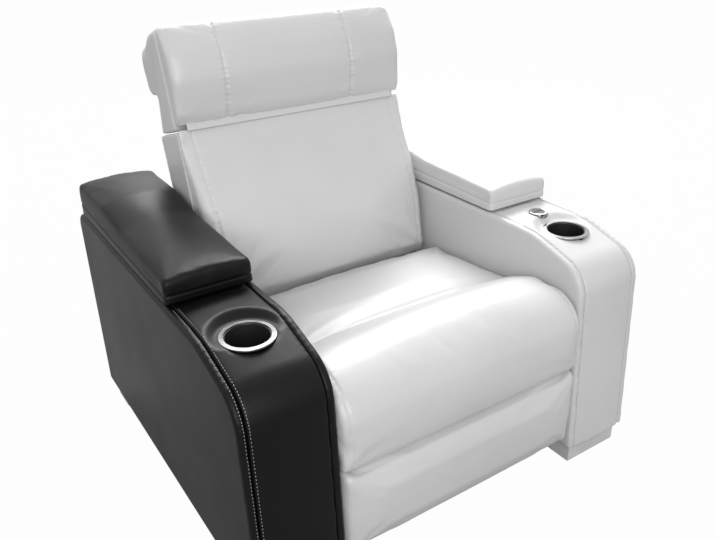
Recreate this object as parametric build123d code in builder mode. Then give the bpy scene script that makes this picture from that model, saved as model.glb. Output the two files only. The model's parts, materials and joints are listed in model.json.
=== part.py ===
from build123d import *
import os
from math import cos, hypot, radians, sin

# A cinema recliner seat, in millimetres. +Z is up, the seat faces -Y, and +X is the sitter's left.
# The origin lies on the floor, under the middle of the seat's outer size.

# ---------------------------------------------------------------- driving dimensions
SEAT_WIDTH = 1050.0  # over both arms
ARM_WIDTH = 198.0
ARM_DEPTH = 980.0
DECK_HEIGHT = 575.0  # top of the arm, where the lid and the cup holder sit
FOOT_HEIGHT = 51.0
CUSHION_HEIGHT = 428.0  # top of the seat cushion along its sides
BOLSTER_HEIGHT = 484.0  # top of the front bolster along its sides
BACK_LEAN = 15.8  # degrees from upright, at rest
BACK_LENGTH = 408.0  # from the seat crease to the headrest
BACK_THICKNESS = 184.0
HEADREST_LENGTH = 246.0
HEADREST_LOBE = 46.0  # how far its roll hangs over the back's rear
CUP_RADIUS = 43.5
CUP_DEPTH = 70.0
BIN_DEPTH = 152.0
FOOTREST_HEIGHT = 210.0

# clearances
SOFT_GAP = 1.5  # between a cushion and the arm beside it
BACK_GAP = 7.0  # between the back and the arm beside it
RUN_GAP = 0.05  # radial, between a pin and the hole that turns on it
LAYER_GAP = 2.0  # between links that pass each other
LID_GAP = 4.0  # under a closed lid
PANEL_GAP = 6.0  # between the footrest and the bolster above it
BUTTON_GAP = 0.4
HOLE_GAP = 0.5  # around what drops into a cut-out
SLIDE_GAP = 0.3

# walls and stock
PANEL = 18.0  # upholstered arm side
BOARD = 15.0
PLY = 12.0
STEEL = 4.0
BIN_WALL = 3.0
PAD = 20.0  # foam and leather over the arm's former
PAD_CROWN = 5.0

HALF_WIDTH = SEAT_WIDTH / 2
ARM_X = HALF_WIDTH - ARM_WIDTH / 2
INNER_X = HALF_WIDTH - ARM_WIDTH
FRONT_Y = (PAD_CROWN - ARM_DEPTH) / 2
REAR_Y = (PAD_CROWN + ARM_DEPTH) / 2
CREASE_Y = REAR_Y - 420.5  # where the back meets the seat
SIDES = {"left": 1, "right": -1}

os.makedirs("parts", exist_ok=True)


# ---------------------------------------------------------------- helpers
def save(solid, name):
    """Label a finished piece and write it under its own name."""
    solid.label = name
    export_step(solid, f"parts/{name}.step")


def outline(corners, radii, x, plane=Plane.YZ):
    """A closed side view with rounded corners, drawn on the plane x away from the middle."""
    with BuildSketch(plane.offset(x)) as view:
        with BuildLine():
            FilletPolyline(corners, radius=radii, close=True)
        make_face()
    return view.sketch


def disc(y, z, radius, x, plane=Plane.YZ):
    """A round side view."""
    with BuildSketch(plane.offset(x)) as view:
        with Locations((y, z)):
            Circle(radius)
    return view.sketch


def shifted(corners, distance):
    """The corners of an open line of straight runs, moved to its right by a distance."""
    normals = []
    for (y0, z0), (y1, z1) in zip(corners, corners[1:]):
        length = hypot(y1 - y0, z1 - z0)
        normals.append(((z1 - z0) / length, (y0 - y1) / length))
    moved = []
    for index, (y, z) in enumerate(corners):
        before = normals[max(index - 1, 0)]
        after = normals[min(index, len(normals) - 1)]
        reach = distance / (1 + before[0] * after[0] + before[1] * after[1])
        moved.append((y + reach * (before[0] + after[0]), z + reach * (before[1] + after[1])))
    return moved


# rails and bolts that hold the two arms together
RAIL_RISE = 99.0  # over the arm's base board
RAIL_HALF_HEIGHT = 20.0
RAIL_FLANGE = 3.0
RAIL_DEPTH = 21.5
RAIL_SETBACK = 160.0
TUBE = 40.0
TUBE_WALL = 2.0
TUBE_RISE = 29.0
FRONT_TUBE_SETBACK = 267.5
REAR_TUBE_SETBACK = 112.5
BOLT_RADIUS = 4.0
BOLT_HEAD_RADIUS = 7.0
BOLT_HEAD = 4.0
BOLT_INSET = 12.0
RAIL_Z = FOOT_HEIGHT + RAIL_RISE
RAIL_HALF_LENGTH = ARM_DEPTH / 2 - RAIL_SETBACK
TUBE_Z = FOOT_HEIGHT + TUBE_RISE
FRONT_TUBE_Y = FRONT_Y + FRONT_TUBE_SETBACK
REAR_TUBE_Y = REAR_Y - REAR_TUBE_SETBACK
bolt_places = (BOLT_INSET - RAIL_HALF_LENGTH, RAIL_HALF_LENGTH - BOLT_INSET)


# ---------------------------------------------------------------- arms
# The arm's side view is a flat deck, a gentle slope, a round nose and a front that leans forward.
SLOPE_START = 197.0  # behind the front
NOSE_BACK = 29.5
NOSE_DROP = 51.0
NOSE_RADIUS = 85.0
SLOPE_RADIUS = 250.0
REAR_CORNER = 36.0
EDGE_ROUND = 6.0

nose_line = [
    (REAR_Y, DECK_HEIGHT),
    (FRONT_Y + SLOPE_START, DECK_HEIGHT),
    (FRONT_Y + NOSE_BACK, DECK_HEIGHT - NOSE_DROP),
    (FRONT_Y, FOOT_HEIGHT),
]
CAVITY = ARM_WIDTH - 2 * PANEL  # clear width between the arm's two sides

# lid
LID_FRONT_Y = FRONT_Y + 334.5
LID_REAR_Y = REAR_Y - 42.5
LID_FRONT_HEIGHT = 56.0
LID_REAR_HEIGHT = 90.0
LID_CROWN = 8.0
LID_BOARD_INSET = 10.0
LID_BASE = DECK_HEIGHT + LID_GAP

# storage bin
BIN_FRONT_Y = LID_FRONT_Y + 35.0
BIN_REAR_Y = LID_REAR_Y - 108.0
BIN_SIDE = 21.0  # from the arm's side panel to the bin's inside
BIN_FLANGE = 9.0
BIN_FLANGE_THICKNESS = 2.0
BIN_TOP = DECK_HEIGHT + BIN_FLANGE_THICKNESS

# cup holder
CUP_Y = FRONT_Y + 173.8
CUP_SEAT = DECK_HEIGHT - 15.0  # leather dished flat for the flange
CUP_WALL = 2.5
CUP_FLANGE_RADIUS = 53.5
CUP_FLANGE_THICKNESS = 2.0
RING_RADIUS = 55.3
RING_THICKNESS = 3.0
DISH_RADIUS = RING_RADIUS + SOFT_GAP
cup_outer = CUP_RADIUS + CUP_WALL
cup_top = CUP_SEAT + CUP_FLANGE_THICKNESS

# round control
CONTROL_Y = CUP_Y + 91.8
CONTROL_RADIUS = 20.0
CONTROL_FLANGE_RADIUS = 23.5
CONTROL_FLANGE_THICKNESS = 2.5
CONTROL_DEPTH = 38.0
CONTROL_FLOOR = 26.0
BUTTON_RADIUS = 15.5
BUTTON_HEIGHT = 9.0
BUTTON_PROUD = 0.5
BUTTON_SPLIT = 1.5  # half the bar between the two buttons
control_top = DECK_HEIGHT + PAD_CROWN

# lid hinge
KNUCKLE_RADIUS = 4.5
HINGE_PIN_RADIUS = 2.0
HINGE_LEAF = 1.5
HINGE_LEAF_LENGTH = 30.0
HINGE_WIDTH = 120.0
KNUCKLE_GAP = 0.6
hinge_y = LID_REAR_Y + SLIDE_GAP + KNUCKLE_RADIUS
hinge_z = DECK_HEIGHT + KNUCKLE_RADIUS


def arm_side(x, thickness, facing):
    """An upholstered arm side, with the edge of the face that looks along facing rounded over."""
    with BuildPart() as panel:
        corners = nose_line + [(REAR_Y, FOOT_HEIGHT)]
        radii = [REAR_CORNER, SLOPE_RADIUS, NOSE_RADIUS, 0, 0]
        extrude(outline(corners, radii, x), amount=thickness)
        fillet(panel.faces().sort_by(lambda face: facing * face.center().X)[-1].edges(), radius=EDGE_ROUND)
    return panel.part


def strip(inner, outer, rear_y, x):
    """The side view of a layer that follows the arm's nose, between two depths under its surface."""
    start = [(rear_y, DECK_HEIGHT)] + nose_line[1:]
    top = shifted(start, outer)
    under = shifted(start, inner)
    corners = top + under[::-1]
    radii = [0, SLOPE_RADIUS, NOSE_RADIUS + outer, 0, 0, NOSE_RADIUS + inner, SLOPE_RADIUS, 0]
    return outline(corners, radii, x)


CUP_HOLE = cup_outer + HOLE_GAP
BIN_HOLE = BIN_WALL + HOLE_GAP


def block(low, high, mode=Mode.ADD):
    """Add or cut a block from one corner to the opposite one."""
    middle = (Vector(*low) + Vector(*high)) / 2
    size = Vector(*high) - Vector(*low)
    with Locations(middle):
        Box(abs(size.X), abs(size.Y), abs(size.Z), mode=mode)


def column(x, y, low, high, radius, mode=Mode.ADD):
    """Add or cut an upright cylinder between two heights."""
    with Locations((x, y, (low + high) / 2)):
        Cylinder(radius, high - low, mode=mode)


def rod(x, y, z, radius, length, mode=Mode.ADD):
    """Add or cut a cylinder that lies across the seat."""
    with Locations(Location((x, y, z), (0, 90, 0))):
        Cylinder(radius, length, mode=mode)


def bin_block(x, margin, low, high, mode=Mode.ADD):
    """The storage bin's plan, grown by a margin, between two heights."""
    half = CAVITY / 2 - BIN_SIDE + margin
    block((x - half, BIN_FRONT_Y - margin, low), (x + half, BIN_REAR_Y + margin, high), mode)


END_STEPS = (0, 0.45, 0.75, 0.93, 1)


def pillow(section, middle, half, inset, end_width, crown):
    """Draw a cushion: one smooth crown across its width, and ends that roll over in short steps."""
    inner = half - end_width
    loft([section(middle - inner, 0), section(middle, crown), section(middle + inner, 0)])
    for sign in SIDES.values():
        steps = []
        for step in END_STEPS:
            roll = inset * (1 - (1 - step**2) ** 0.5)
            steps.append(section(middle + sign * (inner + step * end_width), -roll))
        loft(steps, ruled=True)


def cut_deck(x, has_control):
    """Cut what drops into the arm's deck: the bin, the cup holder and the control."""
    bin_block(x, BIN_HOLE, FOOT_HEIGHT + PANEL, DECK_HEIGHT + PAD, Mode.SUBTRACT)
    column(x, CUP_Y, CUP_SEAT - CUP_DEPTH, DECK_HEIGHT, CUP_HOLE, Mode.SUBTRACT)
    if has_control:
        hole = CONTROL_RADIUS + HOLE_GAP
        column(x, CONTROL_Y, CUP_SEAT - CUP_DEPTH, DECK_HEIGHT + PAD, hole, Mode.SUBTRACT)


for side, sign in SIDES.items():
    arm_x = sign * ARM_X
    half = CAVITY / 2
    has_control = side == "left"

    outer_side = arm_side(sign * HALF_WIDTH, -sign * PANEL, sign)
    save(outer_side, f"{side}_arm_outer_panel")

    with BuildPart() as inner_side:
        add(arm_side(sign * INNER_X, sign * PANEL, -sign))
        for y in bolt_places:
            rod(sign * (INNER_X + PANEL / 2), y, RAIL_Z, BOLT_RADIUS + RUN_GAP, PANEL, Mode.SUBTRACT)
    save(inner_side.part, f"{side}_arm_inner_panel")

    # bent plywood under the leather, from the arm's base board over its nose to its rear
    with BuildPart() as former:
        extrude(strip(-PAD - PLY, -PAD, REAR_Y - BOARD, arm_x - half), amount=CAVITY)
        cut_deck(arm_x, has_control)
        block((arm_x - half, FRONT_Y, 0), (arm_x + half, REAR_Y, FOOT_HEIGHT + PANEL), Mode.SUBTRACT)
    save(former.part, f"{side}_arm_former")

    # padded leather: crowned over the nose, flat under the lid
    pad_rear = LID_FRONT_Y - LID_GAP
    with BuildPart() as front_pad:
        edge, middle, other = (arm_x - half, 0), (arm_x, PAD_CROWN), (arm_x + half, 0)
        loft([strip(-PAD, crown, pad_rear, x) for x, crown in (edge, middle, other)])
        block((arm_x - half, pad_rear, DECK_HEIGHT - PAD), (arm_x + half, REAR_Y, DECK_HEIGHT))
        rear_edge = front_pad.edges().filter_by(Axis.X).sort_by_distance((arm_x, REAR_Y, DECK_HEIGHT))[0]
        fillet(rear_edge, radius=PAD - EDGE_ROUND)
        cut_deck(arm_x, has_control)
        column(arm_x, CUP_Y, CUP_SEAT, DECK_HEIGHT + PAD, DISH_RADIUS, Mode.SUBTRACT)
        block((arm_x - half, FRONT_Y - PAD, 0), (arm_x + half, 0, FOOT_HEIGHT), Mode.SUBTRACT)
    save(front_pad.part, f"{side}_arm_front_pad")

    with BuildPart() as rear_panel:
        block(
            (arm_x - half, REAR_Y - BOARD, FOOT_HEIGHT),
            (arm_x + half, REAR_Y, DECK_HEIGHT - PAD),
        )
    save(rear_panel.part, f"{side}_arm_rear_panel")

    # moulded bin, hung by its flange in the deck
    with BuildPart() as storage_bin:
        bin_block(arm_x, BIN_WALL, BIN_TOP - BIN_DEPTH - BIN_WALL, BIN_TOP)
        bin_block(arm_x, BIN_FLANGE, DECK_HEIGHT, BIN_TOP)
        bin_block(arm_x, 0, BIN_TOP - BIN_DEPTH, BIN_TOP, Mode.SUBTRACT)
    save(storage_bin.part, f"{side}_storage_bin")

    with BuildPart() as cup_holder:
        column(arm_x, CUP_Y, cup_top - CUP_DEPTH - CUP_WALL, cup_top, cup_outer)
        column(arm_x, CUP_Y, CUP_SEAT, cup_top, CUP_FLANGE_RADIUS)
        column(arm_x, CUP_Y, cup_top - CUP_DEPTH, cup_top, CUP_RADIUS, Mode.SUBTRACT)
    save(cup_holder.part, f"{side}_cup_holder")

with BuildPart() as base_boards:
    for sign in SIDES.values():
        block(
            (sign * ARM_X - CAVITY / 2, FRONT_Y + PAD + SOFT_GAP, FOOT_HEIGHT),
            (sign * ARM_X + CAVITY / 2, REAR_Y - BOARD, FOOT_HEIGHT + PANEL),
        )
save(base_boards.part, "arm_base_boards")

with BuildPart() as cup_rings:
    for sign in SIDES.values():
        column(sign * ARM_X, CUP_Y, cup_top, cup_top + RING_THICKNESS, RING_RADIUS)
    fillet(cup_rings.edges().group_by(Axis.Z)[-1], radius=RING_THICKNESS / 2)
    for sign in SIDES.values():
        column(sign * ARM_X, CUP_Y, cup_top, cup_top + RING_THICKNESS, cup_outer, Mode.SUBTRACT)
save(cup_rings.part, "cup_rings")

FOOT_WIDTH = 166.0
FOOT_LENGTH = 80.0
FOOT_INSET = 13.5
with BuildPart() as feet:
    for sign in SIDES.values():
        for end in (-1, 1):
            y = PAD_CROWN / 2 + end * (ARM_DEPTH / 2 - FOOT_INSET - FOOT_LENGTH / 2)
            with Locations((sign * ARM_X, y, FOOT_HEIGHT / 2)):
                Box(FOOT_WIDTH, FOOT_LENGTH, FOOT_HEIGHT)
save(feet.part, "feet")


# ---------------------------------------------------------------- round control on the left arm
flange_top = control_top + CONTROL_FLANGE_THICKNESS
well_floor = flange_top - CONTROL_FLOOR
with BuildPart() as control_bezel:
    column(ARM_X, CONTROL_Y, control_top - CONTROL_DEPTH, control_top, CONTROL_RADIUS)
    column(ARM_X, CONTROL_Y, control_top, flange_top, CONTROL_FLANGE_RADIUS)
    fillet(control_bezel.edges().group_by(Axis.Z)[-1], radius=CONTROL_FLANGE_THICKNESS / 2)
    column(ARM_X, CONTROL_Y, well_floor, flange_top, BUTTON_RADIUS + BUTTON_GAP, Mode.SUBTRACT)
    bar_half = BUTTON_SPLIT - BUTTON_GAP
    bar_reach = (BUTTON_RADIUS + CONTROL_RADIUS) / 2
    block(
        (ARM_X - bar_reach, CONTROL_Y - bar_half, well_floor),
        (ARM_X + bar_reach, CONTROL_Y + bar_half, flange_top - CONTROL_FLANGE_THICKNESS / 2),
    )
save(control_bezel.part, "control_bezel")

button_top = flange_top + BUTTON_PROUD
for name, end in (("recline_button", 1), ("upright_button", -1)):
    with BuildPart() as button:
        column(ARM_X, CONTROL_Y, button_top - BUTTON_HEIGHT, button_top, BUTTON_RADIUS)
        middle = end * (BUTTON_SPLIT - CONTROL_RADIUS)
        with Locations((ARM_X, CONTROL_Y + middle, button_top - BUTTON_HEIGHT / 2)):
            Box(2 * CONTROL_RADIUS, 2 * CONTROL_RADIUS, BUTTON_HEIGHT, mode=Mode.SUBTRACT)
    save(button.part, name)


# ---------------------------------------------------------------- lids
LID_WIDTH = ARM_WIDTH - 2.0
LID_MIDDLE_Y = LID_REAR_Y - 320.0
LID_STEP_Y = LID_REAR_Y - 200.0
LID_MIDDLE_HEIGHT = 68.0
LID_REAR_RISE = 3.0
LID_EDGE_ROUND = 3.0
LID_NOSE_ROUND = 14.0
LID_REAR_ROUND = 26.0
LID_STEP_ROUND = 90.0
LID_SWEEP_ROUND = 200.0
LID_END_INSET = 9.0
LID_END_WIDTH = 12.0


def lid_section(x, crown):
    """The lid's side view: it thickens from a thin front lip to a full, round rear end."""
    inset = max(0, -crown)
    corners = [
        (LID_FRONT_Y + inset, LID_BASE),
        (LID_REAR_Y, LID_BASE),
        (LID_REAR_Y, LID_BASE + LID_REAR_HEIGHT + crown),
        (LID_STEP_Y, LID_BASE + LID_REAR_HEIGHT + crown - LID_REAR_RISE),
        (LID_MIDDLE_Y, LID_BASE + LID_MIDDLE_HEIGHT + crown),
        (LID_FRONT_Y + inset, LID_BASE + LID_FRONT_HEIGHT + crown),
    ]
    radii = [LID_EDGE_ROUND, LID_EDGE_ROUND, LID_REAR_ROUND, LID_STEP_ROUND, LID_SWEEP_ROUND, LID_NOSE_ROUND]
    return outline(corners, radii, x)


def lid_board_block(x, mode=Mode.ADD):
    """The plywood board sunk into the underside of a lid's pad."""
    half = LID_WIDTH / 2 - LID_BOARD_INSET
    block(
        (x - half, LID_FRONT_Y + LID_BOARD_INSET + LID_END_INSET, LID_BASE),
        (x + half, LID_REAR_Y - LID_BOARD_INSET, LID_BASE + PLY),
        mode,
    )


for side, sign in SIDES.items():
    arm_x = sign * ARM_X
    with BuildPart() as lid_board:
        lid_board_block(arm_x)
    save(lid_board.part, f"{side}_lid_board")

    with BuildPart() as lid_pad:
        pillow(lid_section, arm_x, LID_WIDTH / 2, LID_END_INSET, LID_END_WIDTH, LID_CROWN)
        lid_board_block(arm_x, Mode.SUBTRACT)
    save(lid_pad.part, f"{side}_lid_pad")

KNUCKLE = HINGE_WIDTH / 3
with BuildPart() as fixed_leaves:
    for sign in SIDES.values():
        x = sign * ARM_X
        block(
            (x - HINGE_WIDTH / 2, hinge_y - HINGE_LEAF_LENGTH, DECK_HEIGHT),
            (x + HINGE_WIDTH / 2, hinge_y, DECK_HEIGHT + HINGE_LEAF),
        )
        rod(x, hinge_y, hinge_z, KNUCKLE_RADIUS, HINGE_WIDTH)
        window = KNUCKLE / 2 + KNUCKLE_GAP
        block(
            (x - window, hinge_y - KNUCKLE_RADIUS, DECK_HEIGHT),
            (x + window, hinge_y + KNUCKLE_RADIUS, hinge_z + KNUCKLE_RADIUS),
            Mode.SUBTRACT,
        )
        rod(x, hinge_y, hinge_z, HINGE_PIN_RADIUS + RUN_GAP, HINGE_WIDTH, Mode.SUBTRACT)
save(fixed_leaves.part, "lid_hinge_fixed_leaves")

with BuildPart() as hinge_pins:
    for sign in SIDES.values():
        rod(sign * ARM_X, hinge_y, hinge_z, HINGE_PIN_RADIUS, HINGE_WIDTH)
save(hinge_pins.part, "lid_hinge_pins")

for side, sign in SIDES.items():
    x = sign * ARM_X
    leaf_front = hinge_y - KNUCKLE_RADIUS
    with BuildPart() as moving_leaf:
        block(
            (x - KNUCKLE / 2, leaf_front, hinge_z),
            (x + KNUCKLE / 2, leaf_front + HINGE_LEAF, hinge_z + HINGE_LEAF_LENGTH),
        )
        rod(x, hinge_y, hinge_z, KNUCKLE_RADIUS, KNUCKLE)
        rod(x, hinge_y, hinge_z, HINGE_PIN_RADIUS + RUN_GAP, KNUCKLE, Mode.SUBTRACT)
    save(moving_leaf.part, f"{side}_lid_hinge_leaf")


# ---------------------------------------------------------------- fixed frame between the arms
with BuildPart() as base_rails:
    for sign in SIDES.values():
        web = sign * (INNER_X - STEEL / 2)
        with Locations((web, 0, RAIL_Z)):
            Box(STEEL, 2 * RAIL_HALF_LENGTH, 2 * RAIL_HALF_HEIGHT)
        for end in (-1, 1):
            z = RAIL_Z + end * (RAIL_HALF_HEIGHT - RAIL_FLANGE / 2)
            with Locations((sign * (INNER_X - RAIL_DEPTH / 2), 0, z)):
                Box(RAIL_DEPTH, 2 * RAIL_HALF_LENGTH, RAIL_FLANGE)
        for y in bolt_places:
            rod(web, y, RAIL_Z, BOLT_RADIUS + RUN_GAP, STEEL, Mode.SUBTRACT)
save(base_rails.part, "base_rails")

with BuildPart() as cross_tubes:
    for y in (FRONT_TUBE_Y, REAR_TUBE_Y):
        with Locations((0, y, TUBE_Z)):
            Box(2 * INNER_X, TUBE, TUBE)
            Box(2 * INNER_X, TUBE - 2 * TUBE_WALL, TUBE - 2 * TUBE_WALL, mode=Mode.SUBTRACT)
save(cross_tubes.part, "cross_tubes")

SUPPLY_WIDTH = 180.0
SUPPLY_DEPTH = 60.0
SUPPLY_HEIGHT = 42.0
INLET_WIDTH = 28.0
INLET_HEIGHT = 20.0
INLET_DEPTH = 10.0
TONGUE = 4.0
supply_base = TUBE_Z + TUBE / 2
supply_rear = REAR_TUBE_Y + SUPPLY_DEPTH / 2
inlet_floor = supply_rear - INLET_DEPTH
inlet_z = supply_base + SUPPLY_HEIGHT / 2
with BuildPart() as power_supply:
    block(
        (-SUPPLY_WIDTH / 2, supply_rear - SUPPLY_DEPTH, supply_base),
        (SUPPLY_WIDTH / 2, supply_rear, supply_base + SUPPLY_HEIGHT),
    )
    fillet(power_supply.edges(), radius=STEEL)
    block(
        (-INLET_WIDTH / 2, inlet_floor, inlet_z - INLET_HEIGHT / 2),
        (INLET_WIDTH / 2, supply_rear, inlet_z + INLET_HEIGHT / 2),
        Mode.SUBTRACT,
    )
    block(
        (-INLET_WIDTH / 4, inlet_floor, inlet_z - TONGUE / 2),
        (INLET_WIDTH / 4, supply_rear - TONGUE, inlet_z + TONGUE / 2),
    )
save(power_supply.part, "power_supply")


# ---------------------------------------------------------------- sliding seat frame
PLATE_X = INNER_X - 27.0  # inner face of the seat's steel sides
SEAT_RAIL_TOP = CUSHION_HEIGHT - 106.0
SEAT_RAIL_HEIGHT = 30.0
SEAT_RAIL_WIDTH = 40.0
FRONT_RAIL_Y = FRONT_Y + 122.5
REAR_RAIL_Y = CREASE_Y - 12.0
CARRIER_SPAN = 48.0
CARRIER_START = 140.0  # degrees, from the drive pivot
SHOE_LENGTH = 60.0
SHOE_WIDTH = 12.0
SHOE_GAP = 3.0
PLATE_MARGIN = 15.0  # around the carrier pivot
PLATE_TOE_DEPTH = 22.0
PLATE_ROUND = 8.0
plate_out = PLATE_X + STEEL
PIVOT_SETBACK, PIVOT_DROP = 61.5, 25.0
DRIVE_SETBACK, DRIVE_DROP = 135.5, 86.0
PLATE_TAIL = 88.0
PLATE_TOE_LENGTH = 130.0
FRONT_SHOE_SETBACK = 175.0
seat_pivot = (CREASE_Y + PIVOT_SETBACK, SEAT_RAIL_TOP - PIVOT_DROP)  # where the back turns
drive_pivot = (FRONT_Y + DRIVE_SETBACK, SEAT_RAIL_TOP - DRIVE_DROP)
carrier_pivot = (
    drive_pivot[0] + CARRIER_SPAN * cos(radians(CARRIER_START)),
    drive_pivot[1] + CARRIER_SPAN * sin(radians(CARRIER_START)),
)
plate_front = carrier_pivot[0] - PLATE_MARGIN
plate_rear = CREASE_Y + PLATE_TAIL
rail_front = FRONT_RAIL_Y - SEAT_RAIL_WIDTH / 2
rail_under = SEAT_RAIL_TOP - SEAT_RAIL_HEIGHT - LAYER_GAP
shoe_places = (FRONT_RAIL_Y + FRONT_SHOE_SETBACK, REAR_RAIL_Y + SHOE_LENGTH)
LINK_PIN_RADIUS = 6.0
BACK_PIN_RADIUS = 8.0
PIN_PROUD = 1.0

with BuildPart() as side_plates:
    corners = [
        (plate_front, carrier_pivot[1] - PLATE_MARGIN),
        (drive_pivot[0] - PLATE_ROUND, drive_pivot[1] - PLATE_TOE_DEPTH),
        (FRONT_RAIL_Y + PLATE_TOE_LENGTH, RAIL_Z - RAIL_HALF_HEIGHT),
        (plate_rear, RAIL_Z - RAIL_HALF_HEIGHT),
        (plate_rear, SEAT_RAIL_TOP),
        (rail_front, SEAT_RAIL_TOP),
        (rail_front, rail_under),
        (plate_front, rail_under),
    ]
    radii = [PLATE_ROUND] * 5 + [0, 0, PLATE_ROUND]
    for sign in SIDES.values():
        extrude(outline(corners, radii, sign * PLATE_X), amount=sign * STEEL)
        for centre, radius in ((drive_pivot, LINK_PIN_RADIUS), (carrier_pivot, LINK_PIN_RADIUS),
                               (seat_pivot, BACK_PIN_RADIUS)):
            extrude(disc(*centre, radius, sign * PLATE_X), amount=sign * STEEL, mode=Mode.SUBTRACT)
save(side_plates.part, "side_plates")

with BuildPart() as seat_rails:
    for y in (FRONT_RAIL_Y, REAR_RAIL_Y):
        with Locations((0, y, SEAT_RAIL_TOP - SEAT_RAIL_HEIGHT / 2)):
            Box(2 * PLATE_X, SEAT_RAIL_WIDTH, SEAT_RAIL_HEIGHT)
save(seat_rails.part, "seat_cross_rails")

WEB_WIDTH = 50.0
WEB_THICKNESS = 2.0
WEB_STEP = 95.0
with BuildPart() as seat_webbing:
    y_high = REAR_RAIL_Y + SEAT_RAIL_WIDTH / 2
    for index in range(-2, 3):
        with Locations((index * WEB_STEP, (rail_front + y_high) / 2, SEAT_RAIL_TOP + WEB_THICKNESS / 2)):
            Box(WEB_WIDTH, y_high - rail_front, WEB_THICKNESS)
save(seat_webbing.part, "seat_webbing")

with BuildPart() as glide_shoes:
    shoe_in = INNER_X - STEEL - SHOE_GAP
    for sign in SIDES.values():
        for y in shoe_places:
            with Locations((sign * (shoe_in - SHOE_WIDTH / 2), y, RAIL_Z)):
                Box(SHOE_WIDTH, SHOE_LENGTH, 2 * (RAIL_HALF_HEIGHT - RAIL_FLANGE - SLIDE_GAP))
            stub = shoe_in - SHOE_WIDTH - plate_out
            with Locations((sign * (plate_out + stub / 2), y, RAIL_Z)):
                Box(stub, SHOE_LENGTH / 2, RAIL_HALF_HEIGHT)
save(glide_shoes.part, "glide_shoes")

# link layers, from the seat's steel side inwards
drive_layer = PLATE_X - LAYER_GAP - STEEL
elbow_layer = drive_layer - LAYER_GAP - STEEL
carrier_layer = elbow_layer - LAYER_GAP - STEEL
lift_layer = carrier_layer - LAYER_GAP - STEEL
bracket_layer = lift_layer - LAYER_GAP - STEEL


with BuildPart() as pivot_pins:
    for centre, radius, layer in (
        (drive_pivot, LINK_PIN_RADIUS, drive_layer),
        (carrier_pivot, LINK_PIN_RADIUS, carrier_layer),
    ):
        for sign in SIDES.values():
            start = sign * (layer - PIN_PROUD)
            extrude(disc(*centre, radius, start), amount=sign * (plate_out - layer + 2 * PIN_PROUD))
    for sign in SIDES.values():
        start = sign * (PLATE_X - LAYER_GAP - PLY)
        extrude(disc(*seat_pivot, BACK_PIN_RADIUS, start), amount=sign * (PLY + LAYER_GAP + STEEL))
save(pivot_pins.part, "seat_pivot_pins")


# ---------------------------------------------------------------- seat cushions
SEAT_HALF = INNER_X - SOFT_GAP
CUSHION_BASE = SEAT_RAIL_TOP + WEB_THICKNESS
CUSHION_REAR_Y = CREASE_Y - 17.0
SEAM_Y = FRONT_Y + 235.5
DIP_Y = SEAM_Y + 90.0
DIP_RISE = 8.0
SEAM_RISE = 14.0
SEAT_CROWN = 14.0
END_INSET = 12.0
END_WIDTH = 22.0
BOLSTER_BASE = SEAT_RAIL_TOP - SEAT_RAIL_HEIGHT
FRONT_FACE_Y = FRONT_Y + 4.0
BOLSTER_BACK_Y = SEAM_Y - 78.0
BOLSTER_STEP = 8.0  # over the cushion at the seam
RAIL_ROOM = 3.0
EDGE = 2.0
SOFT_EDGE = 4.0
CREASE_ROUND = 26.0
DIP_ROUND = 300.0
CUSHION_ROLL = 10.0
BOLSTER_LIP_ROUND = 16.0
BOLSTER_ROLL = 12.0
BOLSTER_BACK_ROUND = 70.0
BOLSTER_NOSE_ROUND = 92.0


def cushion_section(x, swell):
    """Seat cushion side view: it dips behind the bolster and rounds down into the back's crease."""
    corners = [
        (SEAM_Y, CUSHION_BASE),
        (CUSHION_REAR_Y, CUSHION_BASE),
        (CUSHION_REAR_Y, CUSHION_HEIGHT + swell),
        (DIP_Y, CUSHION_HEIGHT + DIP_RISE + swell),
        (SEAM_Y, CUSHION_HEIGHT + SEAM_RISE + swell),
    ]
    return outline(corners, [SOFT_EDGE, SOFT_EDGE, CREASE_ROUND, DIP_ROUND, CUSHION_ROLL], x)


def bolster_section(x, swell):
    """Front bolster side view: a rounded hump that falls to an upright front."""
    front = FRONT_FACE_Y - min(swell, 0) / 2
    corners = [
        (front, BOLSTER_BASE),
        (rail_front - RAIL_ROOM, BOLSTER_BASE),
        (rail_front - RAIL_ROOM, CUSHION_BASE),
        (SEAM_Y - SLIDE_GAP, CUSHION_BASE),
        (SEAM_Y - SLIDE_GAP, CUSHION_HEIGHT + SEAM_RISE + BOLSTER_STEP + swell),
        (BOLSTER_BACK_Y, BOLSTER_HEIGHT + swell),
        (front, BOLSTER_HEIGHT + swell),
    ]
    radii = [BOLSTER_LIP_ROUND, EDGE, EDGE, SOFT_EDGE, BOLSTER_ROLL, BOLSTER_BACK_ROUND, BOLSTER_NOSE_ROUND]
    return outline(corners, radii, x)


with BuildPart() as seat_cushion:
    pillow(cushion_section, 0, SEAT_HALF, END_INSET, END_WIDTH, SEAT_CROWN)
save(seat_cushion.part, "seat_cushion")

with BuildPart() as seat_bolster:
    pillow(bolster_section, 0, SEAT_HALF, END_INSET, END_WIDTH, SEAT_CROWN)
save(seat_bolster.part, "seat_bolster")


# ---------------------------------------------------------------- footrest linkage
LINK_HALF = 11.0
EYE_RADIUS = 14.0
DRIVE_LENGTH = 182.0
DRIVE_START = -75.0  # degrees, at rest
CRANK_START = 20.0
CRANK_LENGTH = 55.0
LIFT_OFFSET = 34.0
FOOTREST_THICKNESS = 45.0
FOOTREST_PIVOT_SETBACK = 20.0
FOOTREST_FRONT_Y = FRONT_FACE_Y
FOOTREST_TOP = BOLSTER_BASE - PANEL_GAP
FOOTREST_BASE = FOOTREST_TOP - FOOTREST_HEIGHT
board_front = FOOTREST_FRONT_Y + FOOTREST_THICKNESS
board_back = board_front + BOARD
footrest_pivot = (board_back + FOOTREST_PIVOT_SETBACK, FOOTREST_TOP - FOOTREST_HEIGHT / 2)


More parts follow.
